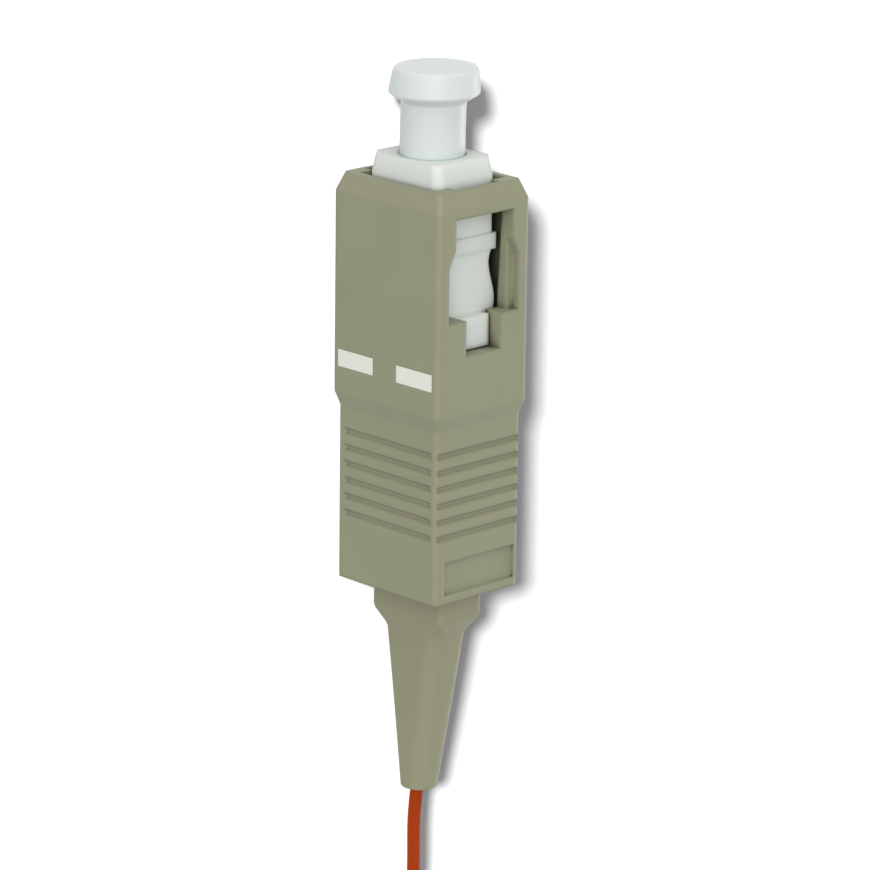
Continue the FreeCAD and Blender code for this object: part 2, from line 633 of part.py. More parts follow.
def stop_ring():
    body = new_body("stop_ring")
    radius = "(chamber_bore - ring_gap)"
    turned(body, [("ring_start", "0"), ("ring_start", radius), (COLLAR_END, radius),
                  (COLLAR_END, SPIGOT_RADIUS), (BARB_START, SPIGOT_RADIUS),
                  (BARB_START, f"{SPIGOT_RADIUS} + barb_high"), (BARB_END, SPIGOT_RADIUS),
                  (SPIGOT_END, SPIGOT_RADIUS), (SPIGOT_END, "0")])
    collar = new_sketch(body, "YZ_Plane", "frame_end")
    octagon(collar, "collar_thick", "collar_wide", "collar_bevel")
    pad(body, collar, "collar_length")
    snaps = new_sketch(body, "YZ_Plane", SNAP_START)
    rectangle(snaps, "-snap_wide / 2", "snap_wide / 2",
              "-(frame_wide / 2 - snap_sink)", "frame_wide / 2 - snap_sink")
    pad(body, snaps, "snap_length")
    tail_room = f"({TAIL_RADIUS} + tail_gap)"
    tail_room_end = "(frame_end - tail_room_back)"
    turned(body, [("ring_start", "0"), ("ring_start", tail_room), (tail_room_end, tail_room),
                  (tail_room_end, RING_BORE), (SPIGOT_END, RING_BORE), (SPIGOT_END, "0")], hollow=True)
    return body


# Boot: soft moulding. A block that fills the sleeve's rear opening runs into a slim taper.

def boot():
    body = new_body("boot")
    block = new_sketch(body, "YZ_Plane", COLLAR_END)
    rounded(block, "boot_thick", "boot_wide", "boot_round")
    block_end = new_sketch(body, "YZ_Plane", "boot_block_end")
    rounded(block_end, "boot_thick", "boot_wide", "boot_round")
    neck = new_sketch(body, "YZ_Plane", "boot_block_end + boot_step")
    rounded(neck, "boot_neck_thick", "boot_neck_wide", "boot_neck_round")
    mouth = new_sketch(body, "YZ_Plane", "boot_end")
    rounded(mouth, "boot_tip_wide", "boot_tip_wide", "boot_tip_round")
    loft(body, [block, block_end, neck, mouth])
    spigot = f"({SPIGOT_RADIUS} + fit_gap)"
    barb = f"({spigot} + barb_high)"
    passage = "(cord_radius + boot_bore_gap)"
    turned(body, [(COLLAR_END, "0"), (COLLAR_END, spigot), (f"{BARB_START} - fit_gap", spigot),
                  (f"{BARB_START} - fit_gap", barb), (f"{BARB_END} + fit_gap", spigot),
                  (f"{SPIGOT_END} + fit_gap", spigot), (f"{SPIGOT_END} + fit_gap", RING_BORE),
                  (f"{SPIGOT_END} + boot_room", RING_BORE), (f"{SPIGOT_END} + boot_room", passage),
                  ("boot_end", passage), ("boot_end", "0")], hollow=True)
    return body


# Dust cap: a soft moulded thimble over the ferrule, with a head to pull it off by.

def dust_cap():
    body = new_body("dust_cap")
    bore = "(ferrule_radius + cap_grip)"
    under_head = f"({CAP_RIM} + cap_undercut)"
    turned(body, [("cap_tail", bore), ("cap_tail", CAP_NECK), (under_head, CAP_NECK),
                  (CAP_RIM, "cap_rim"), (CAP_TOP, "cap_top"), (CAP_TOP, "0"),
                  (CAP_INSIDE, "0"), (CAP_INSIDE, bore)])
    head = amount(under_head)
    neck = amount(CAP_NECK)

    def outer_ring(edge):
        box = edge.BoundBox
        return box.XLength < 0.01 and box.YLength > 2 * neck - 0.01 and box.XMax < head + 0.01

    bevel_edges(body, "cap_bevel", outer_ring)
    return body


# The free length of buffered fibre: it leaves the boot's mouth, comes down to the floor and
# is put away there as a hank with a tie round its waist, in line with the connector.

def boot_mouth():
    """The middle of the boot's mouth, where the free fibre starts."""
    return FreeCAD.Vector(amount(f"boot_end - {CENTRE}"), amount("-key_high / 2"),
                          amount("sleeve_wide / 2"))


def cord_route():
    """Places along the free fibre, counted from the boot's mouth, to just inside the hank."""
    return [boot_mouth() + FreeCAD.Vector(*step) for step in (
        (0, 0, 0), (3.6, 0, 0), (7.3, 0.25, -0.65), (10.9, 0, -1.85),
        (14.4, -0.95, -2.95), (17.9, -2.2, -3.7), (21.4, -3.3, -4.0), (23.6, -3.8, -4.04))]


def rounded_path(points):
    """Straight runs joined by tangent arcs, each as large as its two runs allow."""
    edges = []
    radii = []
    last = points[0]
    for before, corner, after in zip(points, points[1:], points[2:]):
        way_in = (corner - before).normalize()
        way_out = (after - corner).normalize()
        turn = way_in.getAngle(way_out)
        cut = 0.45 * min((corner - before).Length, (after - corner).Length)
        radii.append(cut / math.tan(turn / 2))
        start = corner - way_in * cut
        stop = corner + way_out * cut
        inward = (way_out - way_in).normalize()
        depth = radii[-1] * (1 / math.cos(turn / 2) - 1)
        edges.append(Part.LineSegment(last, start).toShape())
        edges.append(Part.Arc(start, corner + inward * depth, stop).toShape())
        last = stop
    edges.append(Part.LineSegment(last, points[-1]).toShape())
    return Part.Wire(edges), radii


def shape_part(label, shape):
    thing = doc.addObject("Part::Feature", label)
    thing.Label = label
    thing.Shape = shape
    return thing


def fibre_cord():
    """The tube of the run that isn't wound up, with its ends square to its path."""
    route = cord_route()
    path, radii = rounded_path(route)
    radius = amount("cord_radius")
    section = Part.Wire([Part.Circle(route[0], route[1] - route[0], radius).toShape()])
    tube = path.makePipeShell([section], True, True)
    print("cord arc radii:", " ".join(f"{r:.1f}" for r in radii))
    print(f"cord tube: {path.Length:.2f} long, volume {tube.Volume:.3f},"
          f" section times length {math.pi * radius ** 2 * path.Length:.3f}")
    return shape_part("fibre_cord", tube)


def fibre_hank(cord):
    """The wound-up length as one solid: two round ends, a waist, and a socket for the cord."""
    half_long = amount("hank_long") / 2
    wide = amount("hank_wide") / 2
    waist = amount("waist_wide") / 2
    high = amount("hank_high")
    tie = amount("tie_long") / 2
    thin = amount("tie_thin")
    middle = boot_mouth().x + amount("hank_start") + half_long
    near, far = middle - half_long, middle + half_long
    left, right = near + wide, far - wide

    def spot(x, y):
        return FreeCAD.Vector(x, boot_mouth().y + y, 0)

    outline = Part.Wire([
        Part.Arc(spot(left, wide), spot(near, 0), spot(left, -wide)).toShape(),
        Part.LineSegment(spot(left, -wide), spot(right, -wide)).toShape(),
        Part.Arc(spot(right, -wide), spot(far, 0), spot(right, wide)).toShape(),
        Part.LineSegment(spot(right, wide), spot(left, wide)).toShape(),
    ])
    block = Part.Face(outline).extrude(FreeCAD.Vector(0, 0, high))
    level = [e for e in block.Edges if e.BoundBox.ZLength < 0.001]
    block = block.makeChamfer(amount("hank_bevel"), level)
    for side in (-1, 1):
        pinch = Part.makePolygon([spot(left, side * wide), spot(middle - tie, side * waist),
                                  spot(middle + tie, side * waist), spot(right, side * wide),
                                  spot(right, side * 2 * wide), spot(left, side * 2 * wide),
                                  spot(left, side * wide)])
        block = block.cut(Part.Face(pinch).extrude(FreeCAD.Vector(0, 0, high)))
    for z in (0, high - thin):
        corner = spot(middle - tie, -wide) + FreeCAD.Vector(0, 0, z)
        block = block.cut(Part.makeBox(2 * tie, 2 * wide, thin, corner))
    return shape_part("fibre_hank", block.cut(cord.Shape))


def hank_tie():
    """A flat band round the hank's waist, flush with the top and bottom of the hank."""
    long = amount("tie_long")
    wide = amount("waist_wide + 2 * fit_gap")
    high = amount("hank_high")
    thin = amount("tie_thin")
    x = boot_mouth().x + amount("hank_start + hank_long / 2") - long / 2
    y = boot_mouth().y - wide / 2
    band = Part.makeBox(long, wide + 2 * thin, high, FreeCAD.Vector(x, y - thin, 0))
    inside = Part.makeBox(long, wide, high - 2 * thin, FreeCAD.Vector(x, y, thin))
    return shape_part("hank_tie", band.cut(inside))


cord = fibre_cord()
subparts = [
    outer_sleeve(),
    index_mark("index_mark_lower", -1),
    index_mark("index_mark_upper", 1),
    plug_frame(),
    stop_ring(),
    boot(),
    coil_spring(),
    ferrule(),
    ferrule_flange(),
    rod("glass_fibre", "glass_radius", FERRULE_TIP, FERRULE_REAR),
    rod("guide_tube", TUBE_RADIUS, TUBE_START, TUBE_END, bore=FIBRE_PASSAGE),
    rod("buffered_fibre", "cord_radius", FERRULE_REAR, "boot_end"),
    dust_cap(),
    cord,
    fibre_hank(cord),
    hank_tie(),
]

doc.recompute()
for thing in doc.Objects:
    if {"Invalid", "Error"} & set(thing.State):
        raise SystemExit(f"{thing.Label}: {thing.State}")
for part in subparts:
    if part.Shape.isNull() or not part.Shape.isValid():
        raise SystemExit(f"{part.Label}: no valid shape")
os.makedirs("parts", exist_ok=True)
for part in subparts:
    part.Shape.exportStep(f"parts/{part.Label}.step")
    box = part.Shape.BoundBox
    print(f"{part.Label:18s} {len(part.Shape.Solids)} solid, {part.Shape.Volume:9.3f} mm3,"
          f" x {box.XMin:7.2f} {box.XMax:7.2f} y {box.YMin:6.2f} {box.YMax:6.2f}"
          f" z {box.ZMin:6.2f} {box.ZMax:6.2f}")
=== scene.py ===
"""Push-pull SC fibre connector on a tight-buffered pigtail: camera, finishes, cord and studio.

The connector lies along X on one narrow face, its dust cap at -X and its boot at +X. The face
with the index marks looks to -Y and the window face looks up. Metres.
"""
import math

import bmesh
import bpy
import numpy as np
from mathutils import Matrix, Vector


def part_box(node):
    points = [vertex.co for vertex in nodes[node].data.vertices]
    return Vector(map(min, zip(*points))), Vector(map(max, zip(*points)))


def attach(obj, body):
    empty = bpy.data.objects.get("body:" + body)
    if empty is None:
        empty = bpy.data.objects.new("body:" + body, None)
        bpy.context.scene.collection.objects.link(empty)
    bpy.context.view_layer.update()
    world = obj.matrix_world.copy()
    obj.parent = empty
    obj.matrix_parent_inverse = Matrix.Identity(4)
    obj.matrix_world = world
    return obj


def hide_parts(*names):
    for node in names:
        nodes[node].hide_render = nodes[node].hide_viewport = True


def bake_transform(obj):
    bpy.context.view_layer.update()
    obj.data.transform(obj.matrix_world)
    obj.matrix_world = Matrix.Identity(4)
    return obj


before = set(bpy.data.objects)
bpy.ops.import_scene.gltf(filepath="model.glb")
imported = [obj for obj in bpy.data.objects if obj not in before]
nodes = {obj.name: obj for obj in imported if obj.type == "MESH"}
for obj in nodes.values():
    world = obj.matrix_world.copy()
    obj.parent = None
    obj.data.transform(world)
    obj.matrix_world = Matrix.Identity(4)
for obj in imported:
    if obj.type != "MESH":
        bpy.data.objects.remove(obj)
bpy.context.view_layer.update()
scene = bpy.context.scene
scene.view_settings.view_transform = "Standard"


# View: a long lens above the corner between the marked face and the window face, rolled so
# that the dust cap is at the top. The boot end is a little farther away than the cap.

MM = 0.001
VIEW_TURN = math.radians(45.85)
VIEW_TILT = math.radians(16.15)
VIEW_ROLL = math.radians(0.75)
VIEW_DISTANCE = 272.8 * MM
VIEW_LENS = 189.65
VIEW_RIGHT = 0.365 * MM
VIEW_UP = -0.0975 * MM

cap_low, cap_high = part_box("dust_cap")
boot_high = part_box("boot")[1]
axis_y = (cap_low.y + cap_high.y) / 2
axis_z = (cap_low.z + cap_high.z) / 2


def towards_view(turn, tilt):
    """Direction from the connector: turned up from the marked face, tilted towards the cap."""
    level = math.cos(tilt)
    return Vector((-math.sin(tilt), -math.cos(turn) * level, math.sin(turn) * level))


def view_frame(turn, tilt, roll):
    """Right, up and backward axes of a camera, rolled about its line of sight."""
    back = towards_view(turn, tilt)
    level = Vector((0, math.sin(turn), math.cos(turn)))
    right = level * math.cos(roll) + back.cross(level) * math.sin(roll)
    return right, back.cross(right), back


right, up, back = view_frame(VIEW_TURN, VIEW_TILT, VIEW_ROLL)
centre = Vector(((cap_low.x + boot_high.x) / 2, axis_y, axis_z))
camera = bpy.data.objects.new("camera", bpy.data.cameras.new("camera"))
scene.collection.objects.link(camera)
camera.data.sensor_width = 36
camera.data.lens = VIEW_LENS
camera.data.clip_start = 0.01
lens_place = centre + back * VIEW_DISTANCE + right * VIEW_RIGHT + up * VIEW_UP
lens_turn = Matrix((right, up, back)).transposed().to_4x4()
camera.matrix_world = Matrix.Translation(lens_place) @ lens_turn
scene.camera = camera


# Buffered fibre: one metre of tight-buffered glass fibre in an orange jacket 0.85 mm thick. It
# leaves the boot's mouth, comes down to the floor and is wound into a hank in line with the boot.

CORD_RADIUS = 0.425 * MM
ORANGE = (156, 54, 5)
ROUTE = [  # the free run from the mouth, millimetres
    (0, -0.24, -0.36), (1.8, -0.38, -0.52), (5.0, -0.2, -0.62), (8.0, 0.1, -1.05),
    (10.9, 0, -1.85), (14.4, -0.95, -2.95), (17.9, -2.2, -3.7), (21.4, -3.3, -4.0),
    (23.6, -3.8, -4.04)]
HANK_NEAR = 20.6 * MM
HANK_LONG = 22.4 * MM
HANK_WIDE = 10.2 * MM
WAIST_WIDE = 7.66 * MM
WAIST_LIFT = 0.3 * MM
WAIST_PITCH = 0.76 * MM
WAIST_SPREAD = 0.42  # share of the straight length
LANE_PITCH = 0.85 * MM
TURNS = 20
LANES = 3
END_POINTS = 9
LEG_POINTS = 3
SLACK = (-0.35, 0.1)  # how far a turn's ends fall short or reach out, millimetres
SLACK_SEED = 4
BOOT_SAG = Vector((0, -0.18, -0.3)) * MM
DRIFT_DENSITY = 160  # patches of tone, per metre
ROUGHNESS_SPREAD = 0.16
GRAIN_HIGH = 0.01 * MM
# Painted edge highlight: the agreement of normals where it begins and where it is full.
EDGE_BEGINS, EDGE_FULL = 0.99, 0.8  # agreement of rounded and true normal
# Painted gap shade: how far the occlusion looks, and the open shares where it begins and is full.
GAP_REACH = 2 * MM
GAP_BEGINS, GAP_FULL = 0.5, 0.22  # share of open directions
SKIN_SAMPLES = 8
mouth = Vector((boot_high.x, axis_y, axis_z))


def linear(red, green, blue):
    """Scene-linear colour from display values of 0 to 255."""
    share = np.array([red, green, blue]) / 255
    return (*np.where(share <= 0.04045, share / 12.92, ((share + 0.055) / 1.055) ** 2.4), 1.0)


def new_material(name):
    """A material with its Principled shader, ready for nodes."""
    material = bpy.data.materials.new(name)
    material.use_nodes = True
    return material, material.node_tree, material.node_tree.nodes["Principled BSDF"]


def set_sockets(node, **values):
    """Sets a node's sockets by their names, with an underscore for each space."""
    for name, value in values.items():
        node.inputs[name.replace("_", " ")].default_value = value


def add_node(tree, kind, **settings):
    """A node with some of its settings. A name that starts with a capital is a socket's."""
    node = tree.nodes.new(kind)
    for name, value in settings.items():
        if name[0].isupper():
            set_sockets(node, **{name: value})
        else:
            setattr(node, name, value)
    return node


def moulded_surface():
    """Group: a moulded skin. Tone drifts slowly over the piece and a fine grain roughens it. Edges
    are rounded by the normal of a small radius, and where that leaves the true normal they get a
    painted highlight. Narrow gaps get painted shade, a darker tone."""
    tree = bpy.data.node_groups.new("moulded_surface", "ShaderNodeTree")
    for way, names, kind in (
            ("INPUT", ("Colour",), "NodeSocketColor"),
            ("INPUT", ("Drift", "Grain size", "Grain relief", "Roughness", "Edge radius",
                       "Edge paleness", "Gap darkness"), "NodeSocketFloat"),
            ("OUTPUT", ("Colour",), "NodeSocketColor"),
            ("OUTPUT", ("Roughness",), "NodeSocketFloat"),
            ("OUTPUT", ("Normal",), "NodeSocketVector")):
        for name in names:
            tree.interface.new_socket(name=name, in_out=way, socket_type=kind)
    given = add_node(tree, "NodeGroupInput")
    made = add_node(tree, "NodeGroupOutput")
    place = add_node(tree, "ShaderNodeTexCoord")
    density = add_node(tree, "ShaderNodeMath", operation="DIVIDE")
    density.inputs[0].default_value = 1 / MM
    slow = add_node(tree, "ShaderNodeTexNoise", Scale=DRIFT_DENSITY, Detail=3, Roughness=0.55)
    fine = add_node(tree, "ShaderNodeTexNoise", Detail=2, Roughness=0.6)
    tree.links.new(given.outputs["Grain size"], density.inputs[1])
    tree.links.new(density.outputs[0], fine.inputs["Scale"])
    tree.links.new(place.outputs["Object"], slow.inputs["Vector"])
    tree.links.new(place.outputs["Object"], fine.inputs["Vector"])

    radius = add_node(tree, "ShaderNodeMath", operation="MULTIPLY")
    radius.inputs[1].default_value = MM
    geometry = add_node(tree, "ShaderNodeNewGeometry")
    rounded = add_node(tree, "ShaderNodeBevel", samples=SKIN_SAMPLES)
    agree = add_node(tree, "ShaderNodeVectorMath", operation="DOT_PRODUCT")
    edge = add_node(tree, "ShaderNodeMapRange", From_Min=EDGE_BEGINS, From_Max=EDGE_FULL,
                    To_Min=0, To_Max=1)
    tree.links.new(given.outputs["Edge radius"], radius.inputs[0])
    tree.links.new(radius.outputs[0], rounded.inputs["Radius"])
    tree.links.new(geometry.outputs["Normal"], agree.inputs[0])
    tree.links.new(rounded.outputs["Normal"], agree.inputs[1])
    tree.links.new(agree.outputs["Value"], edge.inputs["Value"])

    drift = add_node(tree, "ShaderNodeMapRange", From_Min=0, From_Max=1, clamp=False)
    low = add_node(tree, "ShaderNodeMath", operation="SUBTRACT")
    high = add_node(tree, "ShaderNodeMath", operation="ADD")
    low.inputs[0].default_value = high.inputs[0].default_value = 1
    # Painted highlight: along edges the tone is made paler by the painted edge highlight.
    pale = add_node(tree, "ShaderNodeMath", operation="MULTIPLY_ADD")
    tree.links.new(given.outputs["Drift"], low.inputs[1])
    tree.links.new(given.outputs["Drift"], high.inputs[1])
    tree.links.new(slow.outputs["Fac"], drift.inputs["Value"])
    tree.links.new(low.outputs[0], drift.inputs["To Min"])
    tree.links.new(high.outputs[0], drift.inputs["To Max"])
    tree.links.new(edge.outputs[0], pale.inputs[0])
    tree.links.new(given.outputs["Edge paleness"], pale.inputs[1])
    tree.links.new(drift.outputs[0], pale.inputs[2])

    # Painted shade: where few directions are open, the colour is darkened by the painted gap shade.
    open_share = add_node(tree, "ShaderNodeAmbientOcclusion", samples=SKIN_SAMPLES,
                          Distance=GAP_REACH)
    closed = add_node(tree, "ShaderNodeMapRange", From_Min=GAP_BEGINS, From_Max=GAP_FULL,
                      To_Min=0, To_Max=1)
    painted_shade = add_node(tree, "ShaderNodeMath", operation="MULTIPLY")
    light = add_node(tree, "ShaderNodeMath", operation="SUBTRACT")
    light.inputs[0].default_value = 1
    tone = add_node(tree, "ShaderNodeMath", operation="MULTIPLY")
    toned = add_node(tree, "ShaderNodeVectorMath", operation="SCALE")
    tree.links.new(open_share.outputs["AO"], closed.inputs["Value"])
    tree.links.new(closed.outputs[0], painted_shade.inputs[0])
    tree.links.new(given.outputs["Gap darkness"], painted_shade.inputs[1])
    tree.links.new(painted_shade.outputs[0], light.inputs[1])
    tree.links.new(light.outputs[0], tone.inputs[0])
    tree.links.new(pale.outputs[0], tone.inputs[1])
    tree.links.new(given.outputs["Colour"], toned.inputs[0])
    tree.links.new(tone.outputs[0], toned.inputs["Scale"])
    tree.links.new(toned.outputs["Vector"], made.inputs["Colour"])

    uneven = add_node(tree, "ShaderNodeMath", operation="SUBTRACT")
    uneven.inputs[1].default_value = 0.5
    rough = add_node(tree, "ShaderNodeMath", operation="MULTIPLY_ADD")
    rough.inputs[1].default_value = ROUGHNESS_SPREAD
    relief = add_node(tree, "ShaderNodeBump", Distance=GRAIN_HIGH)
    tree.links.new(fine.outputs["Fac"], uneven.inputs[0])
    tree.links.new(uneven.outputs[0], rough.inputs[0])
    tree.links.new(given.outputs["Roughness"], rough.inputs[2])
    tree.links.new(rough.outputs[0], made.inputs["Roughness"])
    tree.links.new(given.outputs["Grain relief"], relief.inputs["Strength"])
    tree.links.new(fine.outputs["Fac"], relief.inputs["Height"])
    tree.links.new(rounded.outputs["Normal"], relief.inputs["Normal"])
    tree.links.new(relief.outputs["Normal"], made.inputs["Normal"])
    return tree


MOULDED = moulded_surface()


def moulded_material(name, colour, roughness, **skin):
    """Plastic or rubber with the moulded skin. The other settings are the group's inputs, by
    name. Grain size and edge radius are in millimetres."""
    material, tree, shader = new_material(name)
    surface = add_node(tree, "ShaderNodeGroup", node_tree=MOULDED, Colour=linear(*colour),
                       Roughness=roughness, **skin)
    for result, socket in (("Colour", "Base Color"), ("Roughness", "Roughness"),
                           ("Normal", "Normal")):
        tree.links.new(surface.outputs[result], shader.inputs[socket])
    return material, shader, surface


def dress(piece, material):
    """Puts one finish on every slot of a piece."""
    if not piece.data.materials:
        piece.data.materials.append(material)
    for place in piece.material_slots:
        place.material = material


def hank_lane(number):
    """Lane across and layer up that a turn lies in: from the outside in, then back out."""
    layer, step = divmod(number, LANES)
    return (step if layer % 2 == 0 else LANES - 1 - step), layer


def hank_turn(number, jitter):
    """One turn: leg, far end, leg, near end. Ends are half circles. A bell about the middle draws
    the legs in to the waist and up on to the tie. The lane changes along the near end."""
    lane, layer = hank_lane(number)
    next_lane, next_layer = hank_lane(number + 1)
    outermost = HANK_WIDE / 2 - CORD_RADIUS
    reach = outermost - lane * LANE_PITCH
    near = HANK_NEAR + HANK_WIDE / 2
    far = HANK_NEAR + HANK_LONG - HANK_WIDE / 2
    middle = (near + far) / 2
    leg = np.linspace(near, far, LEG_POINTS + 2)[1:-1]
    angle = np.linspace(-math.pi / 2, math.pi / 2, END_POINTS)
    share = np.linspace(0, 1, END_POINTS)
    share = share * share * (3 - 2 * share)
    steady = 2 * LEG_POINTS + END_POINTS
    closing = reach + (outermost - next_lane * LANE_PITCH - reach) * share
    x = np.concatenate([leg, far + reach * np.cos(angle), leg[::-1],
                        near - closing * np.cos(angle)])
    side = np.concatenate([np.full(LEG_POINTS, -1), np.sin(angle), np.full(LEG_POINTS, 1),
                           -np.sin(angle)])
    radius = np.concatenate([np.full(steady, reach), closing])
    height = np.concatenate([np.full(steady, float(layer)), layer + (next_layer - layer) * share])
    bell = np.exp(-((x - middle) / (WAIST_SPREAD * (far - near))) ** 2)
    y = side * (radius - (HANK_WIDE - WAIST_WIDE) / 2 * bell)
    pitch = LANE_PITCH + (WAIST_PITCH - LANE_PITCH) * bell
    z = CORD_RADIUS + pitch * height + WAIST_LIFT * bell ** 2
    return np.column_stack([x + jitter * np.sign(x - middle), y, z - mouth.z])


def cord_points():
    """The free run's own places, then turn after turn, as one line from the boot's mouth."""
    loose = np.random.default_rng(SLACK_SEED)
    parts = [np.array(ROUTE) * MM]
    parts += [hank_turn(number, loose.uniform(*SLACK) * MM) for number in range(TURNS)]
    return np.vstack(parts) + np.array(mouth)


def cord_curve(name, points, radius):
    """A smooth line drawn towards its control points, with a round section."""
    curve = bpy.data.curves.new(name, "CURVE")
    curve.dimensions = "3D"
    curve.bevel_depth = radius
    curve.bevel_resolution = 4
    curve.resolution_u = 6
    curve.use_fill_caps = True
    spline = curve.splines.new("NURBS")
    spline.points.add(len(points) - 1)
    spline.points.foreach_set("co", np.column_stack([points, np.ones(len(points))]).ravel())
    spline.order_u = 3
    spline.use_endpoint_u = True
    piece = bpy.data.objects.new(name, curve)
    scene.collection.objects.link(piece)
    return piece


# Painted shade darkens the cord where the hank's turns lie close together.
jacket, shader, _ = moulded_material(
    "orange_jacket", ORANGE, roughness=0.36, Drift=0.1, Grain_size=0.12, Grain_relief=0.15,
    Edge_radius=0, Edge_paleness=0, Gap_darkness=0.3)
set_sockets(shader, Specular_IOR_Level=0.08)
cord = cord_curve("pigtail_fibre", cord_points(), CORD_RADIUS)
dress(cord, jacket)
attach(cord, "ferrule")
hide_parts("fibre_cord", "fibre_hank")


# Hank tie: a flat nylon band round the hank's waist. It lies under the lowest turns and over the
# uppermost ones, with its corners rounded by the bundle.

TIE_CORNER = 0.75 * MM
TIE_THIN = 0.3 * MM
TIE_EDGE = 0.09 * MM
TIE_WHITE = (226, 227, 222)
tie_low, tie_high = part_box("hank_tie")


def grid_piece(name, grid, start_pole=False, end_pole=False, closed=False, smooth_angle=35):
    """A surface over a grid of points: rows along it, columns round it. A pole row is one point,
    and a closed grid runs from its last row back to its first."""
    rows, columns = grid.shape[:2]
    first, last = int(start_pole), rows - int(end_pole)
    points = grid[first:last].reshape(-1, 3)
    count = last - first
    place = np.arange(count * columns).reshape(count, columns)
    along = place if closed else place[:-1]
    beside = np.roll(place, -1, axis=0) if closed else place[1:]
    quads = np.stack([along, np.roll(along, -1, axis=1), np.roll(beside, -1, axis=1), beside],
                     axis=-1)
    faces = quads.reshape(-1, 4).tolist()
    for wanted, row, turned in ((start_pole, 0, True), (end_pole, rows - 1, False)):
        if wanted:
            ring = place[0] if turned else place[-1]
            tip = np.full(columns, len(points))
            points = np.vstack([points, grid[row, 0]])
            fan = [ring, tip, np.roll(ring, -1)] if turned else [ring, np.roll(ring, -1), tip]
            faces += np.stack(fan, axis=-1).tolist()
    mesh = bpy.data.meshes.new(name)
    mesh.from_pydata(points.tolist(), [], faces)
    mesh.validate()
    whole = bmesh.new()
    whole.from_mesh(mesh)
    bmesh.ops.recalc_face_normals(whole, faces=whole.faces)
    whole.to_mesh(mesh)
    whole.free()
    mesh.shade_smooth()
    mesh.set_sharp_from_angle(angle=math.radians(smooth_angle))
    piece = bpy.data.objects.new(name, mesh)
    scene.collection.objects.link(piece)
    return piece


def rounded_box(half_wide, half_tall, corner, steps):
    """Outline of a rectangle with rounded corners as two arrays, each corner a quarter circle of
    equal steps. Every argument but steps may be an array of one value a row."""
    half_wide, half_tall, corner = (np.atleast_1d(value)[:, None]
                                    for value in (half_wide, half_tall, corner))
    quarter = np.linspace(0, math.pi / 2, steps)
    angle = np.concatenate([quarter + k * math.pi / 2 for k in range(4)])[None, :]
    side = np.repeat([1, -1, -1, 1], steps)[None, :]
    level = np.repeat([1, 1, -1, -1], steps)[None, :]
    return (side * (half_wide - corner) + corner * np.cos(angle),
            level * (half_tall - corner) + corner * np.sin(angle))


def tie_band():
    """A strap's flat section, rounded at its edges, carried round a rounded rectangle."""
    middle = (np.array(tie_low) + np.array(tie_high)) / 2
    half_wide, half_tall = (tie_high.y - tie_low.y) / 2, (tie_high.z - tie_low.z) / 2
    half_long = (tie_high.x - tie_low.x) / 2
    along, depth = rounded_box(half_long, TIE_THIN / 2, TIE_EDGE, steps=4)
    inset = TIE_THIN / 2 - depth[0]
    y, z = rounded_box(half_wide - inset, half_tall - inset, TIE_CORNER - inset, steps=10)
    x = np.repeat(along[0][:, None], y.shape[1], axis=1)
    return np.stack([x, y, z], axis=-1) + middle


# Painted shade darkens the band where the hank's turns close round it.
nylon, shader, _ = moulded_material(
    "nylon_band", TIE_WHITE, roughness=0.38, Drift=0.05, Grain_size=0.2, Grain_relief=0.15,
    Edge_radius=0, Edge_paleness=0, Gap_darkness=0.2)
set_sockets(shader, Subsurface_Weight=0.2, Subsurface_Scale=0.5 * MM)
tie = grid_piece("waist_band", tie_band(), closed=True)
dress(tie, nylon)
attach(tie, "ferrule")
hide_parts("hank_tie")


# Outer sleeve: one moulding in grey-beige thermoplastic with a fine satin grain. The mould
# leaves each edge with a small radius. It slides along the plug to release it. Painted shade
# darkens its hollow deep inside, less at the open mouth, and a faint painted highlight its edges.

BEIGE = (135, 136, 111)
HOLLOW_PAINTED_SHADE = 0.94
MOUTH_PAINTED_SHADE = 0.2
MOUTH_FROM, MOUTH_TO = 0.3 * MM, 1.8 * MM
sleeve_low, sleeve_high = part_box("outer_sleeve")
beige, shader, surface = moulded_material(
    "beige_moulding", BEIGE, roughness=0.47, Drift=0.07, Grain_size=0.13, Grain_relief=0.35,
    Edge_radius=0.26, Edge_paleness=0.01)
set_sockets(shader, Specular_IOR_Level=0.3)
tree = beige.node_tree
# Painted shade in the hollow: its amount grows from the open mouth inwards along X.
place = add_node(tree, "ShaderNodeTexCoord")
axes = add_node(tree, "ShaderNodeSeparateXYZ")
inward = add_node(tree, "ShaderNodeMapRange", From_Min=sleeve_low.x + MOUTH_FROM,
                  From_Max=sleeve_low.x + MOUTH_TO, To_Min=MOUTH_PAINTED_SHADE, To_Max=HOLLOW_PAINTED_SHADE)
tree.links.new(place.outputs["Object"], axes.inputs[0])
tree.links.new(axes.outputs["X"], inward.inputs["Value"])
tree.links.new(inward.outputs[0], surface.inputs["Gap darkness"])
dress(nodes["outer_sleeve"], beige)


# Index marks: two bars of matt white ink on the marked face, printed into shallow moulded
# recesses that they fill to the surface.

MARK_WHITE = (216, 216, 207)
white_ink, _, _ = moulded_material(
    "white_ink", MARK_WHITE, roughness=0.55, Drift=0.05, Grain_size=0.2, Grain_relief=0.3,
    Edge_radius=0, Edge_paleness=0, Gap_darkness=0)
for node in ("index_mark_lower", "index_mark_upper"):
    dress(nodes[node], white_ink)


# Plug frame: the inner body, moulded in natural white. It shows through the sleeve's windows
# and stands out round the dust cap's neck.

FRAME_WHITE = (207, 213, 207)
# Painted shade darkens the frame in the narrow gaps between it and the sleeve.
white_moulding, shader, _ = moulded_material(
    "white_moulding", FRAME_WHITE, roughness=0.4, Drift=0.03, Grain_size=0.16, Grain_relief=0.12,
    Edge_radius=0.45, Edge_paleness=0, Gap_darkness=0.3)
set_sockets(shader, Subsurface_Weight=0.25, Subsurface_Scale=0.4 * MM, Specular_IOR_Level=0.2)
dress(nodes["plug_frame"], white_moulding)


# Dust cap: a soft translucent thimble turned about the axis, with a wide head to pull it off by
# and a neck that goes into the plug frame over the ferrule.

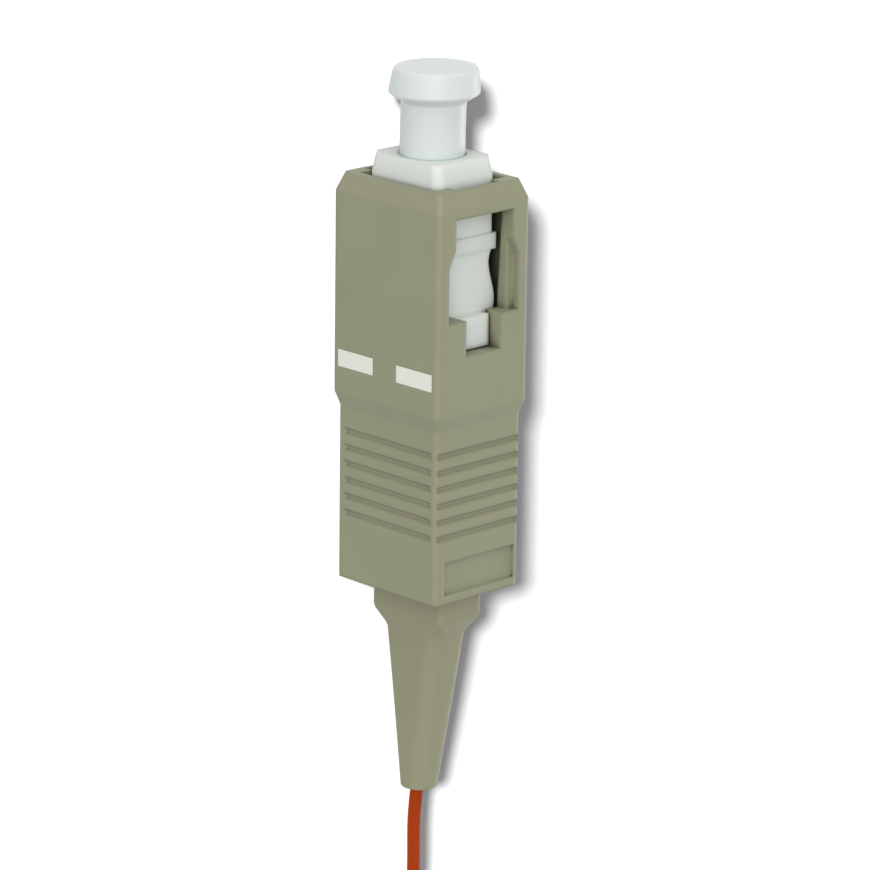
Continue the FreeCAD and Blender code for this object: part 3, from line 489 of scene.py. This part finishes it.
CAP_TOP_RADIUS = 2.5 * MM
CAP_NECK_RADIUS = 1.93 * MM
CAP_BORE_RADIUS = 1.3 * MM
CAP_HEAD = 1.55 * MM
CAP_UNDERCUT = 0.5 * MM
CAP_ROOF = 1.1 * MM
CAP_EDGE = 0.2 * MM
CAP_STEP = 0.4 * MM
CAP_SEAT = 0.8 * MM
CAP_LEAN = (0.125 * MM, 0.115 * MM)
CAP_WHITE = (202, 208, 206)
ROUND_STEPS = 96
SIDE_SHARE = 0.48  # the most of a side that one arc takes


def rounded_profile(corners, radii, steps=6):
    """A line through corners, each cut by an arc that touches both of its sides."""
    corners = np.array(corners, float)
    parts = [corners[:1]]
    for before, corner, after, radius in zip(corners, corners[1:], corners[2:], radii):
        if radius == 0:
            parts.append(corner[None])
            continue
        way_in, way_out = before - corner, after - corner
        way_in, way_out = way_in / np.linalg.norm(way_in), way_out / np.linalg.norm(way_out)
        half = math.acos(np.clip(way_in @ way_out, -1, 1)) / 2
        reach = min(radius / math.tan(half), SIDE_SHARE * np.linalg.norm(before - corner),
                    SIDE_SHARE * np.linalg.norm(after - corner))
        radius = reach * math.tan(half)
        bisector = (way_in + way_out) / np.linalg.norm(way_in + way_out)
        hub = corner + bisector * radius / math.sin(half)
        start, stop = corner + way_in * reach - hub, corner + way_out * reach - hub
        spread = math.pi - 2 * half
        share = np.linspace(0, 1, steps)[:, None]
        parts.append(hub + (np.sin((1 - share) * spread) * start + np.sin(share * spread) * stop)
                     / math.sin(spread))
    parts.append(corners[-1:])
    return np.vstack(parts)


def finely(profile, step):
    """The same line with its places no further apart than a step."""
    parts = [np.linspace(start, stop, math.ceil(np.linalg.norm(stop - start) / step),
                         endpoint=False) for start, stop in zip(profile, profile[1:])]
    return np.vstack([*parts, profile[-1:]])


def turned_grid(profile, lean, seat):
    """A profile of places along the axis and radii, turned about the connector's axis. Ahead of
    its seat the axis bends, to lean so much across and up at its front."""
    angle = np.linspace(0, 2 * math.pi, ROUND_STEPS, endpoint=False)[None, :]
    along, radius = profile[:, 0][:, None], profile[:, 1][:, None]
    ahead = (np.maximum(seat - along, 0) / (seat - along.min())) ** 2
    return np.stack([along + 0 * angle, axis_y + lean[0] * ahead + radius * np.cos(angle),
                     axis_z + lean[1] * ahead + radius * np.sin(angle)], axis=-1)


frame_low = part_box("plug_frame")[0]
cap_top, cap_end = cap_low.x, cap_high.x
cap_rim = cap_top + CAP_HEAD
cap_radius = (cap_high.z - cap_low.z) / 2
cap_profile = finely(rounded_profile(
    [(cap_top, 0), (cap_top, CAP_TOP_RADIUS), (cap_rim, cap_radius),
     (cap_rim + CAP_UNDERCUT, CAP_NECK_RADIUS), (cap_end, CAP_NECK_RADIUS),
     (cap_end, CAP_BORE_RADIUS), (cap_top + CAP_ROOF, CAP_BORE_RADIUS), (cap_top + CAP_ROOF, 0)],
    [CAP_EDGE * 1.3, CAP_EDGE, CAP_EDGE, CAP_EDGE, CAP_EDGE / 2, CAP_EDGE]), CAP_STEP)
cap_plastic, shader, _ = moulded_material(
    "translucent_cap", CAP_WHITE, roughness=0.34, Drift=0.03, Grain_size=0.3, Grain_relief=0.08,
    Edge_radius=0, Edge_paleness=0, Gap_darkness=0)
set_sockets(shader, Subsurface_Weight=0.4, Subsurface_Scale=0.8 * MM, Specular_IOR_Level=0.3)
cap = grid_piece("pull_cap", turned_grid(cap_profile, CAP_LEAN, frame_low.x - CAP_SEAT),
                 start_pole=True, end_pole=True)
dress(cap, cap_plastic)
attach(cap, "cap")
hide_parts("dust_cap")


# Boot: a soft elastomer moulding that keeps the fibre from kinking. Its block fills the sleeve's
# rear opening, then a shoulder leads into a taper that turns from oval to round at the mouth. The
# cord's pull makes it sag a little, and the fibre inside it follows.

BOOT_STATIONS = [  # along the axis, half width, half thickness and corner radius, millimetres
    (21.3, 3.0, 1.75, 0.4), (26.85, 3.0, 1.75, 0.4), (27.85, 2.28, 1.57, 0.95),
    (38.05, 1.1, 1.1, 1.08)]
BOOT_BORE = 0.525 * MM
BOOT_SOFT = 0.22 * MM
BOOT_LIP = 0.09 * MM
BOOT_BORE_DEEP = 2.5 * MM
BOOT_ROWS = 24
SOFT_STEPS = 9
LIP_STEPS = 6
SAG_POWER = 1.4
POLE_RADIUS = 1e-6
BUFFER_STEPS = 20
BOOT_BEIGE = (136, 136, 111)
buffer_low, buffer_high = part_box("buffered_fibre")


def sagging_section(x, y, z):
    """Sections across the axis, shifted by a sag that grows from the sleeve's rear to the mouth
    as a power of the distance."""
    share = np.clip((x - sleeve_high.x) / (boot_high.x - sleeve_high.x), 0, 1) ** SAG_POWER
    shift = share[:, None, None] * np.array(BOOT_SAG)
    along = np.repeat(x[:, None], z.shape[1], axis=1)
    return np.stack([along, axis_y + y, axis_z + z], axis=-1) + shift


def boot_grid():
    """Rounded rectangles carried along the axis. Each size runs straight from station to station
    and is averaged over a short window, which rounds its corners. The mouth turns in to the bore
    by a quarter circle."""
    stations = np.array(BOOT_STATIONS) * MM
    along = stations[:, 0] + sleeve_low.x
    window = np.linspace(-1, 1, SOFT_STEPS) * BOOT_SOFT
    x = np.linspace(along[0], along[-1] - BOOT_LIP, BOOT_ROWS)
    x = np.unique(np.concatenate([x, *(at + window for at in along[1:-1])]))
    sizes = [np.interp(x[:, None] + window, along, size).mean(axis=1) for size in stations[:, 1:].T]
    lip = np.linspace(0, math.pi / 2, LIP_STEPS)[1:]
    x = np.concatenate([x[:1], x, along[-1] - BOOT_LIP * (1 - np.sin(lip)),
                        [along[-1], along[-1] - BOOT_BORE_DEEP, along[-1] - BOOT_BORE_DEEP]])
    inside = [BOOT_BORE, BOOT_BORE, POLE_RADIUS]
    half_wide, half_thick, corner = (
        np.concatenate([[POLE_RADIUS], size, size[-1] - BOOT_LIP * (1 - np.cos(lip)), inside])
        for size in sizes)
    z, y = rounded_box(half_wide, half_thick, np.minimum(corner, 0.999 * half_thick), steps=12)
    return sagging_section(x, y, z)


def buffer_grid():
    """A rod from the guide tube to the mouth, on the boot's sagging axis."""
    x = np.linspace(buffer_low.x, buffer_high.x, BUFFER_STEPS)
    x = np.concatenate([x[:1], x, x[-1:]])
    radius = np.full((len(x), 1), (buffer_high.y - buffer_low.y) / 2)
    radius[0] = radius[-1] = POLE_RADIUS
    angle = np.linspace(0, 2 * math.pi, BUFFER_STEPS, endpoint=False)[None, :]
    return sagging_section(x, radius * np.cos(angle), radius * np.sin(angle))


boot_rubber, shader, _ = moulded_material(
    "beige_elastomer", BOOT_BEIGE, roughness=0.52, Drift=0.06, Grain_size=0.16, Grain_relief=0.25,
    Edge_radius=0, Edge_paleness=0, Gap_darkness=0)
set_sockets(shader, Specular_IOR_Level=0.3)
for name, node, slot, body, grid, finish in (
        ("strain_boot", "boot", "boot", "plug", boot_grid(), boot_rubber),
        ("buffer_in_boot", "buffered_fibre", "fibre", "ferrule", buffer_grid(), jacket)):
    piece = grid_piece(name, grid, start_pole=True, end_pole=True)
    dress(piece, finish)
    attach(piece, body)
    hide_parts(node)


# Inner pieces: the ground zirconia ferrule, pressed into its nickel-plated flange, the bare glass
# bonded in its bore, the plastic guide tube behind it, and the turned, nickel-plated stop ring.

ZIRCONIA = (238, 236, 228)
NICKEL = (196, 192, 184)
TUBE_WHITE = (225, 226, 224)
GLASS = (214, 224, 226)
TURNED_SMOOTH, TURNED_ROUGH = 0.8, 1.3  # shares of a metal's roughness


def metal_material(name, colour, roughness, turning):
    """Plated or drawn metal. Fine rings of turning marks round the axis vary its roughness."""
    material, tree, shader = new_material(name)
    place = add_node(tree, "ShaderNodeTexCoord")
    rings = add_node(tree, "ShaderNodeTexWave", wave_type="BANDS", bands_direction="X",
                     Scale=turning, Distortion=2, Detail=2)
    spread = add_node(tree, "ShaderNodeMapRange", To_Min=roughness * TURNED_SMOOTH,
                      To_Max=roughness * TURNED_ROUGH)
    relief = add_node(tree, "ShaderNodeBump", Strength=0.15, Distance=0.005 * MM)
    tree.links.new(place.outputs["Object"], rings.inputs["Vector"])
    tree.links.new(rings.outputs["Fac"], spread.inputs["Value"])
    tree.links.new(spread.outputs[0], shader.inputs["Roughness"])
    tree.links.new(rings.outputs["Fac"], relief.inputs["Height"])
    tree.links.new(relief.outputs["Normal"], shader.inputs["Normal"])
    set_sockets(shader, Base_Color=linear(*colour), Metallic=1)
    return material


zirconia, shader, _ = moulded_material(
    "ground_zirconia", ZIRCONIA, roughness=0.14, Drift=0.02, Grain_size=0.05, Grain_relief=0.03,
    Edge_radius=0.04, Edge_paleness=0, Gap_darkness=0)
set_sockets(shader, IOR=2.1, Subsurface_Weight=0.15, Subsurface_Scale=0.3 * MM)
tube_plastic, _, _ = moulded_material(
    "guide_tube_plastic", TUBE_WHITE, roughness=0.3, Drift=0.03, Grain_size=0.2, Grain_relief=0.1,
    Edge_radius=0, Edge_paleness=0, Gap_darkness=0)
glass, _, _ = moulded_material(
    "bare_glass", GLASS, roughness=0.08, Drift=0.01, Grain_size=0.05, Grain_relief=0,
    Edge_radius=0, Edge_paleness=0, Gap_darkness=0)
nickel = metal_material("nickel_plate", NICKEL, roughness=0.24, turning=2500)
for node, finish in (("ferrule", zirconia), ("ferrule_flange", nickel), ("stop_ring", nickel),
                     ("guide_tube", tube_plastic), ("glass_fibre", glass)):
    dress(nodes[node], finish)


# Coil spring: hard-drawn steel wire wound round the flange's barrel. It pushes the ferrule forward
# from the stop ring.

SPRING_WIRE = 0.2 * MM
SPRING_TURNS = 7
TURN_STEPS = 32
WIRE_SIDES = 12
STEEL = (176, 177, 178)
spring_low, spring_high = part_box("coil_spring")


def spring_grid():
    """A round wire wound at an even pitch, with a pole at each end."""
    steps = np.linspace(0, 1, SPRING_TURNS * TURN_STEPS + 1)
    steps = np.concatenate([steps[:1], steps, steps[-1:]])[:, None]
    wire = np.full(steps.shape, SPRING_WIRE)
    wire[0] = wire[-1] = 0
    turn = 2 * math.pi * SPRING_TURNS * steps
    side = np.linspace(0, 2 * math.pi, WIRE_SIDES, endpoint=False)[None, :]
    length = spring_high.x - spring_low.x - 2 * SPRING_WIRE
    reach = (spring_high.z - spring_low.z) / 2 - SPRING_WIRE + wire * np.cos(side)
    return np.stack([spring_low.x + SPRING_WIRE + length * steps + wire * np.sin(side),
                     axis_y + reach * np.cos(turn), axis_z + reach * np.sin(turn)], axis=-1)


spring = grid_piece("ferrule_spring", spring_grid(), start_pole=True, end_pole=True)
dress(spring, metal_material("spring_steel", STEEL, roughness=0.2, turning=4000))
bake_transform(spring)
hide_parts("coil_spring")


# Studio: a plain white floor that keeps the shadow, and wide soft lamps, the widest round the
# lens. The floor has a smaller, far lamp of its own, a little to the marked side of the lens and
# towards the cap, so that the shadow falls past the key rib.

FLOOR_HALF = 3.0
SHADOW_TURN = VIEW_TURN - math.radians(5.4)
SHADOW_TILT = VIEW_TILT + math.radians(3.3)
SHADOW_SOFT = math.radians(6.3)
SHADOW_LEVEL = 6.3
FLOOR_LIT = 0.1
FLOOR_SEEN = 0.235
SKY_LEVEL = 0.76


def area_lamp(name, direction, distance, size, level):
    """A round lamp that faces the connector. Level is what it adds to a white face that looks
    straight at it, as a share of white."""
    lamp = bpy.data.lights.new(name, "AREA")
    lamp.shape = "DISK"
    lamp.size = size
    lamp.energy = level * math.pi ** 2 * distance ** 2
    holder = bpy.data.objects.new(name, lamp)
    scene.collection.objects.link(holder)
    holder.location = centre + direction * distance
    holder.rotation_mode = "QUATERNION"
    holder.rotation_quaternion = direction.to_track_quat("Z", "Y")
    return holder


area_lamp("lens_side_lamp", towards_view(VIEW_TURN, VIEW_TILT),
          distance=0.8, size=0.5, level=0.38)
area_lamp("marked_side_fill", Vector((-0.3, -0.9, 0.3)).normalized(),
          distance=0.8, size=0.4, level=0.12)
area_lamp("cap_side_fill", Vector((-0.93, -0.25, 0.27)).normalized(),
          distance=0.7, size=0.4, level=0.25)
area_lamp("rib_side_fill", Vector((0.25, 0.95, 0.14)).normalized(),
          distance=0.8, size=0.4, level=0.22)
sun = bpy.data.lights.new("floor_lamp", "SUN")
sun.angle = SHADOW_SOFT
sun.energy = SHADOW_LEVEL * math.pi
floor_lamp = bpy.data.objects.new("floor_lamp", sun)
scene.collection.objects.link(floor_lamp)
floor_lamp.rotation_mode = "QUATERNION"
floor_lamp.rotation_quaternion = towards_view(SHADOW_TURN, SHADOW_TILT).to_track_quat("Z", "Y")


def seen_share(tree):
    """One for rays from the lens, straight or by way of gloss or glass, and none for others."""
    light_path = add_node(tree, "ShaderNodeLightPath")
    mirrored = add_node(tree, "ShaderNodeMath", operation="MAXIMUM")
    either = add_node(tree, "ShaderNodeMath", operation="MAXIMUM")
    tree.links.new(light_path.outputs["Is Glossy Ray"], mirrored.inputs[0])
    tree.links.new(light_path.outputs["Is Transmission Ray"], mirrored.inputs[1])
    tree.links.new(light_path.outputs["Is Camera Ray"], either.inputs[0])
    tree.links.new(mirrored.outputs[0], either.inputs[1])
    return either.outputs[0]


floor_mesh = bpy.data.meshes.new("floor")
corners = [(x * FLOOR_HALF, y * FLOOR_HALF, 0) for x, y in ((-1, -1), (1, -1), (1, 1), (-1, 1))]
floor_mesh.from_pydata(corners, [], [(0, 1, 2, 3)])
floor = bpy.data.objects.new("floor", floor_mesh)
scene.collection.objects.link(floor)
white_floor, tree, shader = new_material("white_floor")
tree.nodes.remove(shader)
lit = add_node(tree, "ShaderNodeBsdfDiffuse", Color=(FLOOR_LIT, FLOOR_LIT, FLOOR_LIT, 1))
seen = add_node(tree, "ShaderNodeBsdfDiffuse", Color=(FLOOR_SEEN, FLOOR_SEEN, FLOOR_SEEN, 1))
choice = add_node(tree, "ShaderNodeMixShader")
tree.links.new(seen_share(tree), choice.inputs["Fac"])
tree.links.new(lit.outputs[0], choice.inputs[1])
tree.links.new(seen.outputs[0], choice.inputs[2])
tree.links.new(choice.outputs[0], tree.nodes["Material Output"].inputs["Surface"])
dress(floor, white_floor)
lit_floor = bpy.data.collections.new("lit_floor")
lit_floor.objects.link(floor)
floor_lamp.light_linking.receiver_collection = lit_floor

studio = bpy.data.worlds.new("studio")
scene.world = studio
studio.use_nodes = True
tree = studio.node_tree
level = add_node(tree, "ShaderNodeMapRange", To_Min=SKY_LEVEL, To_Max=1)
set_sockets(tree.nodes["Background"], Color=(1, 1, 1, 1))
tree.links.new(seen_share(tree), level.inputs["Value"])
tree.links.new(level.outputs[0], tree.nodes["Background"].inputs["Strength"])
